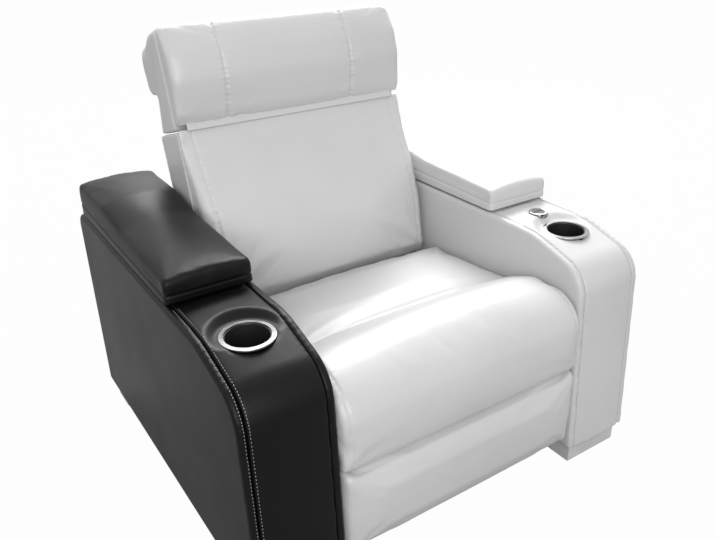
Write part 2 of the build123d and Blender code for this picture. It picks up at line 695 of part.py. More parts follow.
def reach(start, length, angle):
    """The far end of a link."""
    return (start[0] + length * cos(radians(angle)), start[1] + length * sin(radians(angle)))


drive_end = reach(drive_pivot, DRIVE_LENGTH, DRIVE_START)
carrier_end = reach(carrier_pivot, DRIVE_LENGTH, DRIVE_START)
lift_start = (drive_end[0] - LIFT_OFFSET, drive_end[1])


def bar_corners(start, end):
    """The four corners of a flat bar between two eyes."""
    length = hypot(end[0] - start[0], end[1] - start[1])
    across = (-(end[1] - start[1]) / length * LINK_HALF, (end[0] - start[0]) / length * LINK_HALF)
    return [
        (start[0] + across[0], start[1] + across[1]),
        (end[0] + across[0], end[1] + across[1]),
        (end[0] - across[0], end[1] - across[1]),
        (start[0] - across[0], start[1] - across[1]),
    ]


def link(start, end, layer):
    """A pair of flat steel links with round eyes, one on each side of the seat."""
    with BuildPart() as pair:
        for sign in SIDES.values():
            x = sign * layer
            extrude(outline(bar_corners(start, end), 0, x), amount=sign * STEEL)
            for centre in (start, end):
                extrude(disc(*centre, EYE_RADIUS, x), amount=sign * STEEL)
        for sign in SIDES.values():
            for centre in (start, end):
                bore = disc(*centre, LINK_PIN_RADIUS + RUN_GAP, sign * layer)
                extrude(bore, amount=sign * STEEL, mode=Mode.SUBTRACT)
    return pair.part


save(link(drive_pivot, drive_end, drive_layer), "drive_links")
save(link(carrier_pivot, carrier_end, carrier_layer), "carrier_links")
save(link(lift_start, footrest_pivot, lift_layer), "lift_links")

with BuildPart() as elbow_plates:
    for sign in SIDES.values():
        x = sign * elbow_layer
        with BuildSketch(Plane.YZ.offset(x)):
            with BuildLine():
                Polyline(drive_end, carrier_end, lift_start, close=True)
            make_face()
            offset(amount=EYE_RADIUS)
        extrude(amount=sign * STEEL)
    for sign in SIDES.values():
        for centre in (drive_end, carrier_end, lift_start):
            x = sign * elbow_layer
            extrude(disc(*centre, LINK_PIN_RADIUS, x), amount=sign * STEEL, mode=Mode.SUBTRACT)
save(elbow_plates.part, "elbow_plates")

with BuildPart() as elbow_pins:
    for centre, low, high in (
        (drive_end, elbow_layer, drive_layer + STEEL),
        (carrier_end, carrier_layer, elbow_layer + STEEL),
        (lift_start, lift_layer, elbow_layer + STEEL),
    ):
        for sign in SIDES.values():
            start = sign * (low - PIN_PROUD)
            extrude(disc(*centre, LINK_PIN_RADIUS, start), amount=sign * (high - low + 2 * PIN_PROUD))
save(elbow_pins.part, "elbow_pins")

TORQUE_RADIUS = 12.0
TORQUE_BORE = 9.0
CRANK_THICKNESS = 10.0
with BuildPart() as torque_tube:
    extrude(disc(*drive_pivot, TORQUE_RADIUS, -drive_layer), amount=2 * drive_layer)
    crank_end = reach(drive_pivot, CRANK_LENGTH, CRANK_START)
    crank_x = -CRANK_THICKNESS / 2
    extrude(outline(bar_corners(drive_pivot, crank_end), 0, crank_x), amount=CRANK_THICKNESS)
    extrude(disc(*crank_end, LINK_HALF, crank_x), amount=CRANK_THICKNESS)
    extrude(disc(*drive_pivot, TORQUE_BORE, -drive_layer), amount=2 * drive_layer, mode=Mode.SUBTRACT)
save(torque_tube.part, "torque_tube")

# linear drive: a motor box under the rear seat rail, with a track that carries the sliding block
TRACK_FRONT_Y = FRONT_RAIL_Y + 85.0
TRACK_HALF_WIDTH = 15.0
TRACK_HEIGHT = 20.0
TRACK_Z = SEAT_RAIL_TOP - 96.0
MOTOR_WIDTH = 80.0
MOTOR_LENGTH = 70.0
MOTOR_ROUND = 10.0
BLOCK_LENGTH = 40.0
BLOCK_Y = REAR_RAIL_Y - 130.0
motor_top = SEAT_RAIL_TOP - SEAT_RAIL_HEIGHT
motor_front = REAR_RAIL_Y - SEAT_RAIL_WIDTH / 2
with BuildPart() as linear_drive:
    block(
        (-MOTOR_WIDTH / 2, motor_front, TRACK_Z - TRACK_HEIGHT),
        (MOTOR_WIDTH / 2, motor_front + MOTOR_LENGTH, motor_top),
    )
    fillet(linear_drive.edges().filter_by(Axis.Y).group_by(Axis.Z)[0], radius=MOTOR_ROUND)
    block(
        (-TRACK_HALF_WIDTH, TRACK_FRONT_Y, TRACK_Z - TRACK_HEIGHT / 2),
        (TRACK_HALF_WIDTH, motor_front, TRACK_Z + TRACK_HEIGHT / 2),
    )
save(linear_drive.part, "linear_drive")

BLOCK_WALL = 6.0
LUG_HEIGHT = 18.0
with BuildPart() as drive_block:
    half = TRACK_HALF_WIDTH + SLIDE_GAP
    low_z = TRACK_Z - TRACK_HEIGHT / 2 - SLIDE_GAP
    high_z = TRACK_Z + TRACK_HEIGHT / 2 + SLIDE_GAP
    block(
        (-half - BLOCK_WALL, BLOCK_Y, low_z - BLOCK_WALL),
        (half + BLOCK_WALL, BLOCK_Y + BLOCK_LENGTH, high_z + BLOCK_WALL),
    )
    block(
        (-BLOCK_WALL, BLOCK_Y, high_z + BLOCK_WALL),
        (BLOCK_WALL, BLOCK_Y + BLOCK_LENGTH / 2, high_z + BLOCK_WALL + LUG_HEIGHT),
    )
    block((-half, BLOCK_Y, low_z), (half, BLOCK_Y + BLOCK_LENGTH, high_z), Mode.SUBTRACT)
save(drive_block.part, "drive_block")

# footrest: board, pad and brackets
FOOTREST_HALF = INNER_X - 2 * SOFT_GAP
BOARD_MARGIN = 6.0
FOOTREST_CROWN = 1.0
FOOTREST_BELLY = 3.0
FOOTREST_EDGE = 3.0
FOOTREST_ROLL = 18.0
FOOTREST_SWEEP = 400.0
with BuildPart() as footrest_board:
    block(
        (-FOOTREST_HALF + END_WIDTH, board_front, FOOTREST_BASE + BOARD_MARGIN),
        (FOOTREST_HALF - END_WIDTH, board_back, FOOTREST_TOP - BOARD_MARGIN),
    )
save(footrest_board.part, "footrest_board")


def footrest_section(x, swell):
    """Footrest pad side view, with a slightly full front."""
    front = FOOTREST_FRONT_Y - swell
    corners = [
        (board_front, FOOTREST_BASE),
        (board_front, FOOTREST_TOP),
        (front, FOOTREST_TOP),
        (front - FOOTREST_BELLY, (FOOTREST_TOP + FOOTREST_BASE) / 2),
        (front, FOOTREST_BASE),
    ]
    return outline(corners, [FOOTREST_EDGE, FOOTREST_EDGE, FOOTREST_ROLL, FOOTREST_SWEEP, FOOTREST_ROLL], x)


with BuildPart() as footrest_pad:
    pillow(footrest_section, 0, FOOTREST_HALF, END_INSET, END_WIDTH, FOOTREST_CROWN)
save(footrest_pad.part, "footrest_pad")

BRACKET_HALF_HEIGHT = 40.0
BRACKET_FLANGE = 22.0
BRACKET_FOOT = 6.0
BRACKET_ROUND = 8.0
with BuildPart() as footrest_brackets:
    for sign in SIDES.values():
        y_low, z_mid = board_back, footrest_pivot[1]
        corners = [
            (y_low, z_mid - BRACKET_HALF_HEIGHT),
            (y_low + BRACKET_FOOT, z_mid - BRACKET_HALF_HEIGHT),
            (footrest_pivot[0] + EYE_RADIUS, z_mid - EYE_RADIUS),
            (footrest_pivot[0] + EYE_RADIUS, z_mid + EYE_RADIUS),
            (y_low + BRACKET_FOOT, z_mid + BRACKET_HALF_HEIGHT),
            (y_low, z_mid + BRACKET_HALF_HEIGHT),
        ]
        radii = [0, EDGE, BRACKET_ROUND, BRACKET_ROUND, EDGE, 0]
        extrude(outline(corners, radii, sign * bracket_layer), amount=sign * STEEL)
        flange = sign * (bracket_layer - BRACKET_FLANGE / 2 + STEEL)
        with Locations((flange, y_low + STEEL / 2, z_mid)):
            Box(BRACKET_FLANGE, STEEL, 2 * BRACKET_HALF_HEIGHT)
        start = sign * (bracket_layer - PIN_PROUD)
        across = lift_layer + STEEL - bracket_layer + 2 * PIN_PROUD
        extrude(disc(*footrest_pivot, LINK_PIN_RADIUS, start), amount=sign * across)
save(footrest_brackets.part, "footrest_brackets")


# ---------------------------------------------------------------- back
# Everything on the back is drawn in its leaning side view: n runs rearwards, square to the back,
# and u runs up along it from the seat crease.
LEAN = radians(BACK_LEAN)
back_plane = Plane(
    origin=(0, CREASE_Y, CUSHION_HEIGHT), x_dir=(0, cos(LEAN), -sin(LEAN)), z_dir=(1, 0, 0)
)


def along_back(y, z):
    """A floor-frame point as (n, u)."""
    dy, dz = y - CREASE_Y, z - CUSHION_HEIGHT
    return (dy * cos(LEAN) - dz * sin(LEAN), dy * sin(LEAN) + dz * cos(LEAN))


BACK_HALF = INNER_X - BACK_GAP
FRONT_SEAM_N = 60.0
BACK_WALL = 12.0
POST_WIDTH = 30.0
POST_GAP = 3.0
post_out = PLATE_X - LAYER_GAP
post_in = post_out - PLY
pivot_n, pivot_u = along_back(*seat_pivot)
SHELL_DROP = 40.0  # below the seat crease
SHELL_BASE_ROUND = 30.0
SHELL_TOP_ROUND = 8.0
shell_base = -SHELL_DROP
post_top = BACK_LENGTH - BACK_WALL

with BuildPart() as back_posts:
    for sign in SIDES.values():
        corners = [
            (pivot_n - POST_WIDTH / 2, pivot_u),
            (pivot_n + POST_WIDTH / 2, pivot_u),
            (pivot_n + POST_WIDTH / 2, post_top),
            (pivot_n - POST_WIDTH / 2, post_top),
        ]
        x = sign * post_in
        extrude(outline(corners, 0, x, back_plane), amount=sign * PLY)
        extrude(disc(pivot_n, pivot_u, POST_WIDTH / 2, x, back_plane), amount=sign * PLY)
    for sign in SIDES.values():
        bore = disc(pivot_n, pivot_u, BACK_PIN_RADIUS + RUN_GAP, sign * post_in, back_plane)
        extrude(bore, amount=sign * PLY, mode=Mode.SUBTRACT)
save(back_posts.part, "back_posts")

CROSS_RAIL = 26.0
LOW_RAIL_U = 10.0
rail_top_u = post_top - STEEL
with BuildPart() as back_rails:
    for u in (LOW_RAIL_U, rail_top_u - CROSS_RAIL):
        corners = [
            (pivot_n - POST_WIDTH / 2, u),
            (pivot_n + POST_WIDTH / 2, u),
            (pivot_n + POST_WIDTH / 2, u + CROSS_RAIL),
            (pivot_n - POST_WIDTH / 2, u + CROSS_RAIL),
        ]
        extrude(outline(corners, 0, -post_in, back_plane), amount=2 * post_in)
save(back_rails.part, "back_rails")


def back_block(low, high, x, length, mode=Mode.ADD):
    """Add or cut a block drawn in the back's leaning side view, from x over a length."""
    corners = [low, (high[0], low[1]), high, (low[0], high[1])]
    extrude(outline(corners, 0, x, back_plane), amount=length, mode=mode)


HEAD_GAP = 2.4  # between the back's top and the headrest
HEAD_BASE = BACK_LENGTH + HEAD_GAP
HEAD_BOARD_N = 60.0
axis_n = HEAD_BOARD_N + PLY / 2
AXIS_RISE = 30.0
axis_u = HEAD_BASE + AXIS_RISE
HINGE_ARM = 5.0
HINGE_ARM_X = BACK_HALF - 170.0
ARM_SLOT = 13.0
HINGE_ARM_HALF = 10.0

with BuildPart() as back_shell:
    corners = [
        (FRONT_SEAM_N, shell_base),
        (BACK_THICKNESS, shell_base),
        (BACK_THICKNESS, BACK_LENGTH),
        (FRONT_SEAM_N, BACK_LENGTH),
    ]
    radii = [0, SHELL_BASE_ROUND, SHELL_TOP_ROUND, 0]
    extrude(outline(corners, radii, -BACK_HALF, back_plane), amount=2 * BACK_HALF)
    back_block(
        (FRONT_SEAM_N, shell_base + BACK_WALL),
        (BACK_THICKNESS - BACK_WALL, BACK_LENGTH - BACK_WALL),
        BACK_WALL - BACK_HALF,
        2 * (BACK_HALF - BACK_WALL),
        Mode.SUBTRACT,
    )
    post_low, post_high = pivot_n - POST_WIDTH / 2 - POST_GAP, pivot_n + POST_WIDTH / 2 + POST_GAP
    for sign in SIDES.values():
        back_block(
            (post_low, shell_base),
            (post_high, shell_base + BACK_WALL),
            sign * (post_in - POST_GAP),
            sign * (PLY + 2 * POST_GAP),
            Mode.SUBTRACT,
        )
        back_block(
            (FRONT_SEAM_N, BACK_LENGTH - BACK_WALL),
            (post_high, BACK_LENGTH),
            sign * HINGE_ARM_X - ARM_SLOT / 2,
            ARM_SLOT,
            Mode.SUBTRACT,
        )
save(back_shell.part, "back_shell")

BACK_CROWN = 14.0
BACK_END_INSET = 22.0
BACK_END_WIDTH = 46.0
FOLD_DROP = 4.0  # below the back's top
CHEST_U = BACK_LENGTH - 90.0
WAIST_U = BACK_LENGTH - 180.0
BELLY_U = BACK_LENGTH - 278.0
TUCK_DROP = 6.0
CHEST_ROUND = 160.0
BELLY_ROUND = 300.0
# how far forward each point of the outline lies, as a share of the cushion's depth
FOLD_SHARE = 0.12
CHEST_SHARE = 0.5
WAIST_SHARE = 0.97
BELLY_SHARE = 1.17
TUCK_SHARE = 0.55
TUCK_ROUND_SHARE = 0.3
FOLD_ROUND_SHARE = 0.1


def back_section(x, swell):
    """Back cushion side view: full at the small of the back, falling away to the headrest's fold."""
    front = -swell
    rear = FRONT_SEAM_N - SLIDE_GAP
    depth = rear - front
    corners = [
        (rear, shell_base),
        (rear, BACK_LENGTH - FOLD_DROP),
        (rear - FOLD_SHARE * depth, BACK_LENGTH - FOLD_DROP),
        (rear - CHEST_SHARE * depth, CHEST_U),
        (rear - WAIST_SHARE * depth, WAIST_U),
        (rear - BELLY_SHARE * depth, BELLY_U),
        (rear - depth, -TUCK_DROP),
        (rear - TUCK_SHARE * depth, shell_base),
    ]
    top_radii = [EDGE, EDGE / 2, FOLD_ROUND_SHARE * depth, CHEST_ROUND, CHEST_ROUND]
    low_radii = [BELLY_ROUND, TUCK_ROUND_SHARE * depth, FOLD_SHARE * depth]
    return outline(corners, top_radii + low_radii, x, back_plane)


with BuildPart() as back_cushion:
    pillow(back_section, 0, BACK_HALF, BACK_END_INSET, BACK_END_WIDTH, BACK_CROWN)
save(back_cushion.part, "back_cushion")

# ratchet hinge arms that carry the headrest
with BuildPart() as hinge_arms:
    for sign in SIDES.values():
        x = sign * HINGE_ARM_X - HINGE_ARM / 2
        corners = [
            (pivot_n - HINGE_ARM_HALF, rail_top_u),
            (pivot_n + HINGE_ARM_HALF, rail_top_u),
            (axis_n + HINGE_ARM_HALF, axis_u),
            (axis_n - HINGE_ARM_HALF, axis_u),
        ]
        extrude(outline(corners, 0, x, back_plane), amount=HINGE_ARM)
        extrude(disc(axis_n, axis_u, HINGE_ARM_HALF, x, back_plane), amount=HINGE_ARM)
    for sign in SIDES.values():
        bore = disc(axis_n, axis_u, LINK_PIN_RADIUS + RUN_GAP, sign * HINGE_ARM_X - HINGE_ARM / 2, back_plane)
        extrude(bore, amount=HINGE_ARM, mode=Mode.SUBTRACT)
save(hinge_arms.part, "headrest_hinge_arms")


# ---------------------------------------------------------------- headrest
HEAD_TOP = BACK_LENGTH + HEADREST_LENGTH
HEAD_FRONT_N = 8.0
head_rear = BACK_THICKNESS + HEADREST_LOBE
LOBE_BASE = HEAD_TOP - 154.0
HEAD_BROW_U = HEAD_TOP - 76.0
HEAD_CHIN_U = HEAD_TOP - 134.0
HEAD_TUCK_U = HEAD_TOP - 209.0
HEAD_FOLD = 14.0
HEAD_TOP_FALL = 6.0
LOBE_TOP_FALL = 36.0
LOBE_TOP_N = HEAD_BOARD_N + 70.0
HEAD_TOP_ROUND = 16.0
HEAD_BROW_ROUND = 60.0
HEAD_CHIN_ROUND = 80.0
HEAD_TUCK_ROUND = 20.0
CROWN_SHARE = 0.45
BROW_SHARE = 0.97
LOBE_NECK_ROUND = 12.0
LOBE_TOP_ROUND = 52.0
HEAD_END_INSET = 14.0
HEAD_END_WIDTH = 34.0
HEAD_BOARD_MARGIN = 18.0
EAR = 3.0
EAR_FOOT = 12.0
EAR_RISE = 24.0


def head_front_section(x, swell):
    """Front roll side view: fullest above its middle and drawn in towards the fold below it."""
    tight = max(0, -swell)
    depth = HEAD_BOARD_N - HEAD_FRONT_N + swell
    corners = [
        (HEAD_BOARD_N, HEAD_BASE + HEAD_FOLD),
        (HEAD_BOARD_N, HEAD_TOP - tight),
        (HEAD_BOARD_N - CROWN_SHARE * depth, HEAD_TOP - HEAD_TOP_FALL - tight),
        (HEAD_BOARD_N - BROW_SHARE * depth, HEAD_BROW_U),
        (HEAD_BOARD_N - depth, HEAD_CHIN_U),
        (HEAD_BOARD_N - TUCK_SHARE * depth, HEAD_TUCK_U),
    ]
    radii = [EDGE, EDGE, HEAD_TOP_ROUND, HEAD_BROW_ROUND, HEAD_CHIN_ROUND, HEAD_TUCK_ROUND]
    return outline(corners, radii, x, back_plane)


def head_rear_section(x, swell):
    """Rear roll: it stands on the back and hangs over its rear in a round lobe."""
    tight = -min(swell, 0)
    corners = [
        (HEAD_BOARD_N + PLY, HEAD_BASE),
        (BACK_THICKNESS - tight, HEAD_BASE),
        (BACK_THICKNESS - tight, LOBE_BASE + tight),
        (head_rear - tight, LOBE_BASE + tight),
        (head_rear - tight, HEAD_TOP - LOBE_TOP_FALL),
        (LOBE_TOP_N, HEAD_TOP - tight),
        (HEAD_BOARD_N + PLY, HEAD_TOP - tight),
    ]
    neck_radii = [EDGE, SHELL_TOP_ROUND, LOBE_NECK_ROUND, HEAD_TUCK_ROUND]
    return outline(corners, neck_radii + [LOBE_TOP_ROUND, HEAD_BROW_ROUND, EDGE], x, back_plane)


HEAD_CROWN = 5.0
SLOT_MARGIN = 3.0
slot_top = axis_u + HINGE_ARM_HALF + SLOT_MARGIN
slot_front = HEAD_BOARD_N - HINGE_ARM_HALF
slot_rear = pivot_n + POST_WIDTH
ear_in = HINGE_ARM / 2 + HOLE_GAP
LEAF_SLOT = 2 * (ear_in + EAR_FOOT + HOLE_GAP)


def cut_arm_slots(n_low, n_high, u_high, width):
    """Slots in a headrest piece that let the fixed hinge arms swing inside it."""
    for sign in SIDES.values():
        x = sign * HINGE_ARM_X - width / 2
        back_block((n_low, HEAD_BASE - SLOT_MARGIN), (n_high, u_high), x, width, Mode.SUBTRACT)


with BuildPart() as headrest_front:
    pillow(head_front_section, 0, BACK_HALF, HEAD_END_INSET, HEAD_END_WIDTH, HEAD_CROWN)
    cut_arm_slots(slot_front, HEAD_BOARD_N, axis_u + EAR_RISE + SLOT_MARGIN, LEAF_SLOT)
save(headrest_front.part, "headrest_front_pad")

with BuildPart() as headrest_board:
    back_block(
        (HEAD_BOARD_N, HEAD_BASE + HEAD_BOARD_MARGIN),
        (HEAD_BOARD_N + PLY, HEAD_TOP - HEAD_BOARD_MARGIN),
        PLY - BACK_HALF,
        2 * (BACK_HALF - PLY),
    )
    cut_arm_slots(HEAD_BOARD_N, HEAD_BOARD_N + PLY, slot_top, ARM_SLOT)
save(headrest_board.part, "headrest_board")

with BuildPart() as headrest_rear:
    pillow(head_rear_section, 0, BACK_HALF, HEAD_END_INSET, HEAD_END_WIDTH, HEAD_CROWN)
    cut_arm_slots(HEAD_BOARD_N, slot_rear, slot_top, ARM_SLOT)
save(headrest_rear.part, "headrest_rear_pad")

# moving hinge leaves: an ear on each side of the fixed arm, with the pin through all three
with BuildPart() as hinge_leaves:
    ear_low, ear_high = axis_u, axis_u + HINGE_ARM_HALF
    for sign in SIDES.values():
        middle = sign * HINGE_ARM_X
        for ear in (-1, 1):
            x = middle + ear * ear_in
            extrude(disc(axis_n, axis_u, HINGE_ARM_HALF, x, back_plane), amount=ear * EAR)
            back_block((HEAD_BOARD_N - EAR, ear_low), (axis_n, ear_high), x, ear * EAR)
            back_block((HEAD_BOARD_N - EAR, ear_low), (HEAD_BOARD_N, axis_u + EAR_RISE), x, ear * EAR_FOOT)
        pin_half = ear_in + EAR
        extrude(disc(axis_n, axis_u, LINK_PIN_RADIUS, middle - pin_half, back_plane), amount=2 * pin_half)
save(hinge_leaves.part, "headrest_hinge_leaves")


# ---------------------------------------------------------------- fasteners
with BuildPart() as frame_bolts:
    for sign in SIDES.values():
        for y in bolt_places:
            head_x = sign * (INNER_X - STEEL - BOLT_HEAD)
            extrude(disc(y, RAIL_Z, BOLT_HEAD_RADIUS, head_x), amount=sign * BOLT_HEAD)
            extrude(disc(y, RAIL_Z, BOLT_RADIUS, head_x), amount=sign * (BOLT_HEAD + STEEL + PANEL))
save(frame_bolts.part, "frame_bolts")
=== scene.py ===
# %% [markdown]
# # A cinema recliner in leather
# The steel, the boards and the plain shapes of this seat come ready made from the frame. This lesson
# dresses them: cushions are stuffed, seams are sewn in, and every piece gets its finish.

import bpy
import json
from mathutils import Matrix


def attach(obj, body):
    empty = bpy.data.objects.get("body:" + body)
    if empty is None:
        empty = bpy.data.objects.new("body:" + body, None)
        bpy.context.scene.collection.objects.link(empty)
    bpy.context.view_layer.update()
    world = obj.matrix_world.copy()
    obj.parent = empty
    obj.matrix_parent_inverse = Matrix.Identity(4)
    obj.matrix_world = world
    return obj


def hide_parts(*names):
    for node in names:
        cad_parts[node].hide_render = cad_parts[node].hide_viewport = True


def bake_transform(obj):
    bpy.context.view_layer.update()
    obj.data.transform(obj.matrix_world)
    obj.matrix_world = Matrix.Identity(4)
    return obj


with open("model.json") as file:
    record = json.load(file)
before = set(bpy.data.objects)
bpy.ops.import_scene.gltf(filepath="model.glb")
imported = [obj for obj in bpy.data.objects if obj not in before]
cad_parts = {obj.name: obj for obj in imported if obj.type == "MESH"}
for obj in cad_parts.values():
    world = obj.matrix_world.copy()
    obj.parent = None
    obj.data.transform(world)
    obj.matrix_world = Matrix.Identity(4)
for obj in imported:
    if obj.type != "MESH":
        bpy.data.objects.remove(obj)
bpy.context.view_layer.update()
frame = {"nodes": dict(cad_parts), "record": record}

import json
from math import cos, pi, radians, sin

import bmesh
import bpy
import numpy as np
from mathutils import Matrix, Vector
from mathutils.bvhtree import BVHTree

nodes = frame["nodes"]
slot_of = {entry["node"]: entry["material_slot"] for entry in frame["record"]["subparts"]}
scene = bpy.context.scene

# %% [markdown]
# ## Camera
# The seat is seen from its front and its right, from the height of someone standing before it. A
# camera is placed by a point and three directions: where it looks, its right and its up.

# %% Place the camera
LENS, SENSOR = 36.86, 36
CAMERA_PLACE = (-0.8901, -1.4080, 1.2732)
YAW, PITCH, ROLL = radians(33.05), radians(26.30), radians(-1.05)

look = Vector((sin(YAW) * cos(PITCH), cos(YAW) * cos(PITCH), -sin(PITCH)))
level_right = Vector((cos(YAW), -sin(YAW), 0))
level_up = level_right.cross(look)
right = level_right * cos(ROLL) + level_up * sin(ROLL)
up = level_up * cos(ROLL) - level_right * sin(ROLL)

camera = bpy.data.objects.new("camera", bpy.data.cameras.new("camera"))
scene.collection.objects.link(camera)
camera.data.lens = LENS
camera.data.sensor_width = SENSOR
camera.data.clip_start = 0.05
turn = Matrix((right, up, -look)).transposed().to_4x4()
camera.matrix_world = Matrix.Translation(CAMERA_PLACE) @ turn
scene.camera = camera
print("camera at", tuple(round(value, 3) for value in camera.location))

# %% [markdown]
# ## Studio
# Leather shows its gloss only when it mirrors something bright. A wide soft lamp above and behind the
# seat is mirrored by the faces that look up. A small one lifts the left arm, and a weaker one at the
# front fills the shadows.

# %% Light the studio
scene.view_settings.view_transform = "Standard"


def soft_lamp(name, place, aim, size, power):
    """A soft lamp that the camera doesn't see; it points from its place to its aim."""
    lamp = bpy.data.lights.new(name, "AREA")
    lamp.shape = "RECTANGLE"
    lamp.size, lamp.size_y = size
    lamp.energy = power
    obj = bpy.data.objects.new(name, lamp)
    scene.collection.objects.link(obj)
    obj.location = place
    obj.rotation_euler = (Vector(aim) - Vector(place)).to_track_quat("-Z", "Y").to_euler()
    obj.visible_camera = False


soft_lamp("rear_low", (2.6, 2.5, 2.1), (0.4, 0.0, 0.6), (1.2, 1.2), 26)
soft_lamp("rear_high", (2.25, 3.70, 4.70), (0.0, -0.25, 0.5), (3.4, 2.4), 450)
soft_lamp("front_fill", (-1.6, -3.2, 2.0), (0.1, 0.2, 0.6), (2.4, 2.0), 64)
print("three soft lamps")

# %% [markdown]
# ## Shader maths
# A material is a graph of nodes. The first class lets the graph be written as plain sums and
# products, so that a pattern reads like a formula. The second holds a material with its shader.


# %% Wires that can be added and multiplied
class Wire:
    """One output socket in a material, with arithmetic."""

    def __init__(self, tree, socket):
        self.tree = tree
        self.socket = socket

    def node(self, kind, inputs=(), output=0, **settings):
        """Add a node: its settings first, then the values or wires of its sockets."""
        made = self.tree.nodes.new(kind)
        for key, value in settings.items():
            setattr(made, key, value)
        for key, value in dict(inputs).items():
            if isinstance(value, Wire):
                self.tree.links.new(value.socket, made.inputs[key])
            else:
                made.inputs[key].default_value = value
        return Wire(self.tree, made.outputs[output])

    def maths(self, operation, a, b=0.0):
        return self.node("ShaderNodeMath", {0: a, 1: b}, operation=operation)

    def __add__(self, other):
        return self.maths("ADD", self, other)

    def __sub__(self, other):
        return self.maths("SUBTRACT", self, other)

    def __rsub__(self, other):
        return self.maths("SUBTRACT", other, self)

    def __mul__(self, other):
        return self.maths("MULTIPLY", self, other)

    def clamp(self, low=0.0, high=1.0):
        return self.maths("MINIMUM", self.maths("MAXIMUM", self, low), high)

    def between(self, low, high):
        """0 below low, 1 above high, and a smooth rise between them."""
        inputs = {"Value": self, "From Min": low, "From Max": high}
        return self.node("ShaderNodeMapRange", inputs, interpolation_type="SMOOTHSTEP")


class Finish:
    """A material with its shader, and the patterns it is built from."""

    def __init__(self, name):
        self.material = bpy.data.materials.new(name)
        self.material.use_nodes = True
        self.tree = self.material.node_tree
        self.shader = self.tree.nodes["Principled BSDF"]
        start = self.tree.nodes.new("ShaderNodeTexCoord")
        self.place = Wire(self.tree, start.outputs["Object"])

    def noise(self, scale, detail=2.0, rough=0.5, place=None):
        inputs = {"Vector": place or self.place, "Scale": scale, "Detail": detail, "Roughness": rough}
        return self.place.node("ShaderNodeTexNoise", inputs)

    def cells(self, scale, feature="DISTANCE_TO_EDGE", place=None):
        inputs = {"Vector": place or self.place, "Scale": scale}
        return self.place.node("ShaderNodeTexVoronoi", inputs, feature=feature)

    def vectors(self, operation, a, b):
        return self.place.node("ShaderNodeVectorMath", {0: a, 1: b}, operation=operation)

    def blend(self, share, first, second):
        """A colour between two colours."""
        inputs = {0: share, 6: first, 7: second}
        return self.place.node("ShaderNodeMix", inputs, output=2, data_type="RGBA")

    def bump(self, height, strength, distance):
        inputs = {"Height": height, "Strength": strength, "Distance": distance}
        self.feed("Normal", self.place.node("ShaderNodeBump", inputs))

    def feed(self, socket, wire):
        self.tree.links.new(wire.socket, self.shader.inputs[socket])

    def fix(self, **values):
        """Set the shader's constant sockets."""
        for key, value in values.items():
            self.shader.inputs[key.replace("_", " ")].default_value = value


def tone(level):
    """A plain grey of that level."""
    return (level, level, level, 1)


print("shader helpers ready")

# %% [markdown]
# ## Leather
# Upholstery leather is pigment over a grain of tiny raised cells, one to two millimetres across, with
# finer pores between them. The grain goes into the bump, the polish varies in soft clouds, and the
# colour only a little. Scales are patterns to the metre.

# %% Two leathers from one recipe
PEBBLES, PORES, WRINKLES, CLOUDS = 620, 2600, 95, 7
WARP, WARP_BY = 180, 0.0012


def leather(name, level, gloss, deep, shine, lacquer):
    """Grained leather of one colour; deep is how dark the valleys of the grain go."""
    skin = Finish(name)
    drift = skin.vectors("MULTIPLY", skin.noise(WARP), (WARP_BY,) * 3)
    warped = skin.vectors("ADD", skin.place, drift)
    pebble = skin.cells(PEBBLES, place=warped).between(0.0, 0.22)
    pores = skin.noise(PORES, detail=1.0)
    wrinkles = skin.noise(WRINKLES, detail=3.0, rough=0.6)
    clouds = skin.noise(CLOUDS, detail=3.0)
    valleys = (1 - pebble) * deep
    skin.feed("Base Color", skin.blend((clouds - 0.5) * 0.5 + valleys, tone(level), tone(level * 0.72)))
    skin.feed("Roughness", ((clouds - 0.5) * 0.10 + gloss + (1 - pebble) * 0.08).clamp(0.2, 0.9))
    skin.bump(pebble * 0.5 + pores * 0.12 + wrinkles * 0.45, strength=0.16, distance=0.0009)
    skin.fix(Specular_IOR_Level=shine, Coat_Weight=lacquer, Coat_Roughness=0.32)
    return skin.material


GREY_LEATHER = leather("grey_leather", level=0.58, gloss=0.37, deep=0.12, shine=0.42, lacquer=0.45)
BLACK_LEATHER = leather("black_leather", level=0.003, gloss=0.34, deep=0.25, shine=0.19, lacquer=0.0)
print("leathers:", GREY_LEATHER.name, BLACK_LEATHER.name)

# %% [markdown]
# ## Metals, boards and plastics
# The rings and the control are polished. Brackets are sprayed satin black, fasteners are zinc plated,
# boards are raw plywood with their growth lines, and the small mouldings have a fine spark texture.

# %% Hard finishes
BIRCH, BIRCH_DARK = (0.60, 0.43, 0.25, 1), (0.42, 0.27, 0.14, 1)


def plain_metal(name, level, rough, scale, metallic=1.0):
    """Metal whose polish wanders a little."""
    metal = Finish(name)
    clouds = metal.noise(scale, detail=3.0)
    metal.feed("Base Color", metal.blend(clouds, tone(level), tone(level * 0.88)))
    metal.feed("Roughness", (clouds * 0.12 + (rough - 0.06)).clamp(0.02, 0.9))
    metal.bump(metal.noise(scale * 12, detail=2.0), strength=0.05, distance=0.0002)
    metal.fix(Metallic=metallic)
    return metal.material


def plastic(name, level, rough, scale):
    """Moulded plastic with a fine spark texture."""
    resin = Finish(name)
    spark = resin.cells(scale, feature="F1")
    clouds = resin.noise(20)
    resin.feed("Base Color", resin.blend(clouds, tone(level), tone(level * 0.85)))
    resin.feed("Roughness", (spark * 0.1 + rough).clamp(0.05, 0.95))
    resin.bump(spark, strength=0.2, distance=0.0002)
    return resin.material


